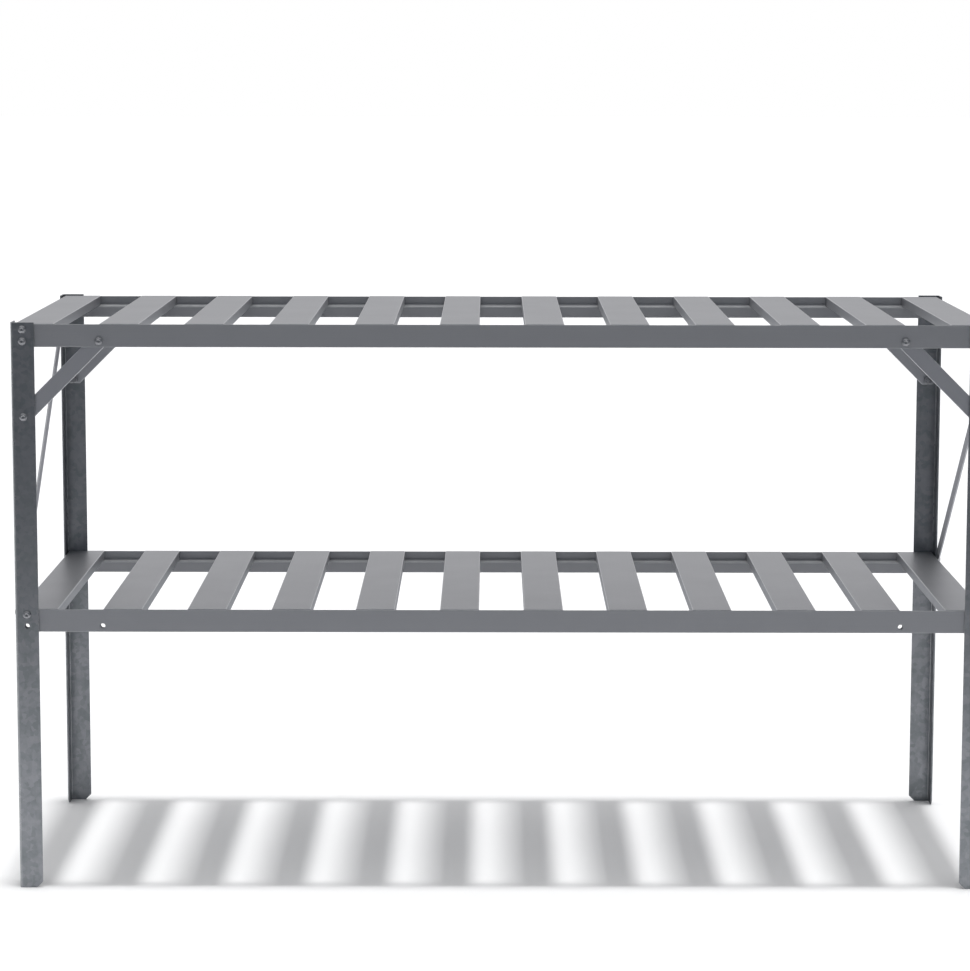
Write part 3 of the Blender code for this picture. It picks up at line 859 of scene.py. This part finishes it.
# %% Paint wear and a highlight on the edges
EDGE_WEAR_AND_HIGHLIGHT, inside, outside = new_group(
    "Edge polish",
    [("Colour", COLOUR, None), ("Polished colour", COLOUR, None), ("Amount", FLOAT, 0.5)],
    [("Colour", COLOUR), ("Mask", FLOAT)],
)
weight = node_in(EDGE_WEAR_AND_HIGHLIGHT, "ShaderNodeAttribute", attribute_name="edge", attribute_type="GEOMETRY")
place = node_in(EDGE_WEAR_AND_HIGHLIGHT, "ShaderNodeTexCoord")
patchy = node_in(
    EDGE_WEAR_AND_HIGHLIGHT, "ShaderNodeTexNoise", {"Vector": place.outputs["Object"], "Scale": 90.0, "Detail": 4.0}
)
share = maths(EDGE_WEAR_AND_HIGHLIGHT, "MULTIPLY", weight.outputs["Fac"], inside.outputs["Amount"])
edge_wear_and_sheen = maths(EDGE_WEAR_AND_HIGHLIGHT, "MULTIPLY", share, maths(EDGE_WEAR_AND_HIGHLIGHT, "ADD", patchy.outputs[0], 0.4), clamp=True)
# The lighter colour goes on the weighted edges: partly wear, partly a painted highlight on the rims.
blend = node_in(
    EDGE_WEAR_AND_HIGHLIGHT, "ShaderNodeMix",
    {0: edge_wear_and_sheen, 6: inside.outputs["Colour"], 7: inside.outputs["Polished colour"]}, data_type="RGBA",
)
EDGE_WEAR_AND_HIGHLIGHT.links.new(blend.outputs[2], outside.inputs["Colour"])
EDGE_WEAR_AND_HIGHLIGHT.links.new(edge_wear_and_sheen, outside.inputs["Mask"])
print("3 effects:", SPANGLE.name, GRAIN.name, EDGE_WEAR_AND_HIGHLIGHT.name, sep="\n  ")

# %% [markdown]
# ## The metals
#
# All five are bare or zinc-coated metal, so they differ by colour, by how rough they are and by the pattern
# on them. Each maker below blends a dark and a light tone by its effect's mask, and lets the same mask change
# the roughness, because a dull patch of zinc is rougher than a bright one.


# %% Mix a metal
def new_metal(name):
    material = bpy.data.materials.new(name)
    material.use_nodes = True
    tree = material.node_tree
    shader = tree.nodes["Principled BSDF"]
    shader.inputs["Metallic"].default_value = 1.0
    place = node_in(tree, "ShaderNodeTexCoord")
    return material, tree, shader, place.outputs["Object"]


def group_node(tree, group, links):
    return node_in(tree, "ShaderNodeGroup", links, node_tree=group)


def finish_metal(tree, shader, mask, dark, light, bright, rough, amount, height, depth):
    """Two tones by a mask, lighter edges for wear and painted highlight, roughness low to high by the mask, a
    fine bump.
    """
    tone = node_in(tree, "ShaderNodeMix", {0: mask, 6: (*dark, 1), 7: (*light, 1)}, data_type="RGBA")
    # The bright colour is laid on the rounded edges: partly wear, partly a painted highlight.
    polish = group_node(
        tree, EDGE_WEAR_AND_HIGHLIGHT, {"Colour": tone.outputs[2], "Polished colour": (*bright, 1), "Amount": amount}
    )
    span = node_in(tree, "ShaderNodeMapRange", {"Value": mask, "To Min": rough[1], "To Max": rough[0]})
    edge_wear_and_sheen = maths(tree, "MULTIPLY", polish.outputs["Mask"], 0.12)
    roughness = maths(tree, "SUBTRACT", span.outputs[0], edge_wear_and_sheen, clamp=True)
    bump = node_in(tree, "ShaderNodeBump", {"Height": height, "Strength": 0.35, "Distance": depth})
    tree.links.new(polish.outputs["Colour"], shader.inputs["Base Color"])
    tree.links.new(roughness, shader.inputs["Roughness"])
    tree.links.new(bump.outputs[0], shader.inputs["Normal"])


def galvanised_steel():
    """Hot-dip zinc on the legs: blue-grey crystals with a cloudy frost, and faint runs down the leg."""
    material, tree, shader, place = new_metal("galvanised steel")
    spangle = group_node(tree, SPANGLE, {"Vector": place, "Crystals per metre": 170.0, "Frost": 0.72})
    runs = group_node(tree, GRAIN, {"Vector": place, "Stretch": (1.0, 1.0, 0.02), "Fineness": 350.0})
    both = node_in(tree, "ShaderNodeMix", {0: 0.3, 2: spangle.outputs["Mask"], 3: runs.outputs["Mask"]})
    finish_metal(
        tree, shader, both.outputs[0], (0.192, 0.210, 0.220), (0.298, 0.304, 0.328),
        (0.42, 0.43, 0.44), (0.30, 0.40), 0.45, spangle.outputs["Height"], 0.02 * MM,
    )
    return material


def rail_aluminium():
    """Mill finish with die lines along the bench."""
    material, tree, shader, place = new_metal("rail aluminium")
    grain = group_node(tree, GRAIN, {"Vector": place, "Stretch": (0.012, 1.0, 1.0), "Fineness": 700.0})
    both = node_in(tree, "ShaderNodeMix", {0: 0.6, 2: grain.outputs["Mask"], 3: grain.outputs["Cloud"]})
    finish_metal(
        tree, shader, both.outputs[0], (0.330, 0.337, 0.357), (0.362, 0.369, 0.389),
        (0.56, 0.57, 0.58), (0.66, 0.70), 0.6, grain.outputs["Mask"], 0.004 * MM,
    )
    return material


def slat_aluminium():
    """Lighter sheet, rolled along each slat."""
    material, tree, shader, place = new_metal("slat aluminium")
    grain = group_node(tree, GRAIN, {"Vector": place, "Stretch": (1.0, 0.012, 1.0), "Fineness": 650.0})
    both = node_in(tree, "ShaderNodeMix", {0: 0.7, 2: grain.outputs["Mask"], 3: grain.outputs["Cloud"]})
    finish_metal(
        tree, shader, both.outputs[0], (0.385, 0.390, 0.405), (0.450, 0.455, 0.470),
        (0.66, 0.67, 0.68), (0.36, 0.44), 0.8, grain.outputs["Mask"], 0.004 * MM,
    )
    return material


def zinc_bar():
    """Electroplated flat bar, even and satin, with faint clouding."""
    material, tree, shader, place = new_metal("zinc flat bar")
    grain = group_node(tree, GRAIN, {"Vector": place, "Stretch": (0.3, 0.3, 0.3), "Fineness": 800.0})
    # The pale edge colour at full amount paints a bright highlight along the bar's rounded rims.
    finish_metal(
        tree, shader, grain.outputs["Cloud"], (0.370, 0.376, 0.402), (0.440, 0.446, 0.472),
        (0.84, 0.85, 0.87), (0.44, 0.52), 1.0, grain.outputs["Mask"], 0.004 * MM,
    )
    return material


def bright_zinc():
    """Bright plating on the bolts and nuts."""
    material, tree, shader, place = new_metal("bright zinc")
    grain = group_node(tree, GRAIN, {"Vector": place, "Stretch": (1.0, 1.0, 1.0), "Fineness": 1500.0})
    finish_metal(
        tree, shader, grain.outputs["Mask"], (0.240, 0.246, 0.262), (0.330, 0.336, 0.352),
        (0.70, 0.71, 0.72), (0.36, 0.46), 0.8, grain.outputs["Mask"], 0.005 * MM,
    )
    return material


METALS = {
    "galvanised_steel": galvanised_steel(),
    "rail_aluminium": rail_aluminium(),
    "slat_aluminium": slat_aluminium(),
    "zinc_bar": zinc_bar(),
    "zinc_fasteners": bright_zinc(),
}
print("metals:", ", ".join(METALS))

# %% [markdown]
# The frame's own nodes get the same metals, by the slot that its record gives each of them.

# %% Give every piece its metal
for name, piece in made.items():
    piece.data.materials.clear()
    piece.data.materials.append(METALS[finish_of[name]])
slot_of = {entry["node"]: entry["material_slot"] for entry in frame["record"]["subparts"]}
for node, cad in frame["nodes"].items():
    cad.data.materials.clear()
    cad.data.materials.append(METALS[slot_of[node]])
print(len(METALS), "metals on", len(made), "pieces")

# %% [markdown]
# ## Floor and light
#
# The bench stands on a pale studio floor. A distant lamp almost straight above gives the stripes of
# shadow under the decks. Everything else is lit by the surroundings, which metal needs, because it shows
# little but reflections. Above and behind they're bright. On the near side, low down, they're dim and a
# little blue, which is what darkens the upright faces against the decks.


# %% Lay the floor
def floor_material():
    material = bpy.data.materials.new("studio floor")
    material.use_nodes = True
    tree = material.node_tree
    shader = tree.nodes["Principled BSDF"]
    place = node_in(tree, "ShaderNodeTexCoord")
    dust = node_in(tree, "ShaderNodeTexNoise", {"Vector": place.outputs["Object"], "Scale": 3.0})
    tone = node_in(
        tree, "ShaderNodeMix",
        {0: dust.outputs[0], 6: (0.86, 0.86, 0.86, 1), 7: (0.88, 0.88, 0.88, 1)}, data_type="RGBA",
    )
    tree.links.new(tone.outputs[2], shader.inputs["Base Color"])
    shader.inputs["Roughness"].default_value = 0.9
    shader.inputs["Specular IOR Level"].default_value = 0.1
    return material


FLOOR_REACH = 60.0
sign = np.array([[-1, -1, 0], [1, -1, 0], [1, 1, 0], [-1, 1, 0]])
floor = bpy.data.objects.new("studio_floor", mesh_from("studio_floor", sign * FLOOR_REACH, [[0, 1, 2, 3]]))
bpy.context.scene.collection.objects.link(floor)
floor.data.materials.append(floor_material())
floor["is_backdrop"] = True
print(f"the floor reaches {FLOOR_REACH:.0f} m each way")

# %% [markdown]
# The lamp is a sun, so its shadows don't spread. Reflections leave it out, or every edge would sparkle.

# %% Hang the lamp
lamp = bpy.data.objects.new("overhead", bpy.data.lights.new("overhead", "SUN"))
LAMP_STRENGTH = 1.9
LAMP_WIDTH = 4.6
LAMP_TILT = (0.5, 1.5, 0.0)
lamp.data.energy = LAMP_STRENGTH
lamp.data.angle = math.radians(LAMP_WIDTH)
lamp.visible_glossy = False
lamp.rotation_euler = [math.radians(degrees) for degrees in LAMP_TILT]
bpy.context.scene.collection.objects.link(lamp)
print(f"lamp {LAMP_WIDTH} degrees wide, tilted {LAMP_TILT[0]} and {LAMP_TILT[1]} degrees")

# %% [markdown]
# A studio keeps glare off upright metal with cards on the floor, a black one in front and a grey one
# behind. Both lie a little way off, and only reflections see them. The lower a face is, the more of the white
# floor it still mirrors past the black card, so the legs grow lighter towards their feet.


# %% Put the cards down
def card(name, start, end, tone):
    """Strip of floor from one y to another that only reflections see."""
    rows = np.array([start, end])[[0, 0, 1, 1]]
    points = np.stack([8.0 * sign[:, 0], rows, np.full(4, 0.01)], axis=1)
    sheet = bpy.data.objects.new(name, mesh_from(name, points, [[0, 1, 2, 3]]))
    bpy.context.scene.collection.objects.link(sheet)
    material = bpy.data.materials.new(name)
    material.use_nodes = True
    shader = material.node_tree.nodes["Principled BSDF"]
    shader.inputs["Base Color"].default_value = tone
    shader.inputs["Roughness"].default_value = 0.9
    sheet.data.materials.append(material)
    sheet.visible_camera = False
    sheet.visible_diffuse = False
    sheet.visible_shadow = False
    sheet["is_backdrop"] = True


NEAR_CARD = (-9.5, -1.7)
FAR_CARD = (0.5, 9.5)
card("black_card", *NEAR_CARD, (0.03, 0.035, 0.045, 1))
card("grey_card", *FAR_CARD, (0.36, 0.37, 0.39, 1))
print("cards from y", NEAR_CARD, "and", FAR_CARD)

# %% [markdown]
# The world's tone follows the direction of a ray: dark low on the near side, pale behind, and nearly white
# above. Rays from the camera see plain white instead.

# %% Paint the surroundings
world = bpy.data.worlds.new("studio")
bpy.context.scene.world = world
world.use_nodes = True
tree = world.node_tree


def smooth_step(value, start, end):
    """0 at start, 1 at end, with no kink between."""
    links = {"Value": value, "From Min": start, "From Max": end}
    return node_in(tree, "ShaderNodeMapRange", links, interpolation_type="SMOOTHSTEP").outputs[0]


def tone_between(share, first, second):
    return node_in(tree, "ShaderNodeMix", {0: share, 6: first, 7: second}, data_type="RGBA").outputs[2]


direction = node_in(tree, "ShaderNodeTexCoord").outputs["Generated"]
parts = node_in(tree, "ShaderNodeSeparateXYZ", {0: direction})
near_side = smooth_step(parts.outputs[1], 0.75, -0.25)
high_up = smooth_step(parts.outputs[2], 0.25, 0.85)
level_tone = tone_between(near_side, (0.62, 0.62, 0.64, 1), (0.062, 0.080, 0.115, 1))
sky_tone = tone_between(high_up, level_tone, (0.95, 0.95, 0.95, 1))
surround = tree.nodes["Background"]
tree.links.new(sky_tone, surround.inputs["Color"])
backdrop = node_in(tree, "ShaderNodeBackground", {"Color": (1, 1, 1, 1), "Strength": 1.0})
rays = node_in(tree, "ShaderNodeLightPath")
choose = node_in(
    tree, "ShaderNodeMixShader",
    {0: rays.outputs["Is Camera Ray"], 1: surround.outputs[0], 2: backdrop.outputs[0]},
)
tree.links.new(choose.outputs[0], tree.nodes["World Output"].inputs["Surface"])
bpy.context.scene.view_settings.view_transform = "Standard"
print("the surroundings take", len(tree.nodes), "nodes")

# %% [markdown]
# ## Camera
#
# It stands four metres in front of the bench and a metre above the floor, and looks slightly down. Its long
# lens makes the rear legs look only a little smaller than the front ones.

# %% Place the camera
LENS = 117.3
CAMERA_PLACE = (-0.0142, -4.2576, 1.0612)
LOOK_DOWN = 0.13225
LOOK_LEFT = 0.00182
ROLL = 0.00138
camera = bpy.data.objects.new("camera", bpy.data.cameras.new("camera"))
camera.data.lens = LENS
camera.data.sensor_width = 36.0
turned = (
    Matrix.Rotation(LOOK_LEFT, 4, "Z")
    @ Matrix.Rotation(math.pi / 2 - LOOK_DOWN, 4, "X")
    @ Matrix.Rotation(ROLL, 4, "Z")
)
camera.matrix_world = Matrix.Translation(CAMERA_PLACE) @ turned
bpy.context.scene.collection.objects.link(camera)
bpy.context.scene.camera = camera
print(f"{LENS} mm lens, {-CAMERA_PLACE[1] - HALF_DEPTH:.2f} m in front of the legs")

# %% [markdown]
# The box round all the visible pieces, leaving out the floor and the cards, is printed.

# %% Measure and finish
bpy.context.view_layer.update()
low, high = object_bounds()
print("visual box from", tuple(low), "to", tuple(high))
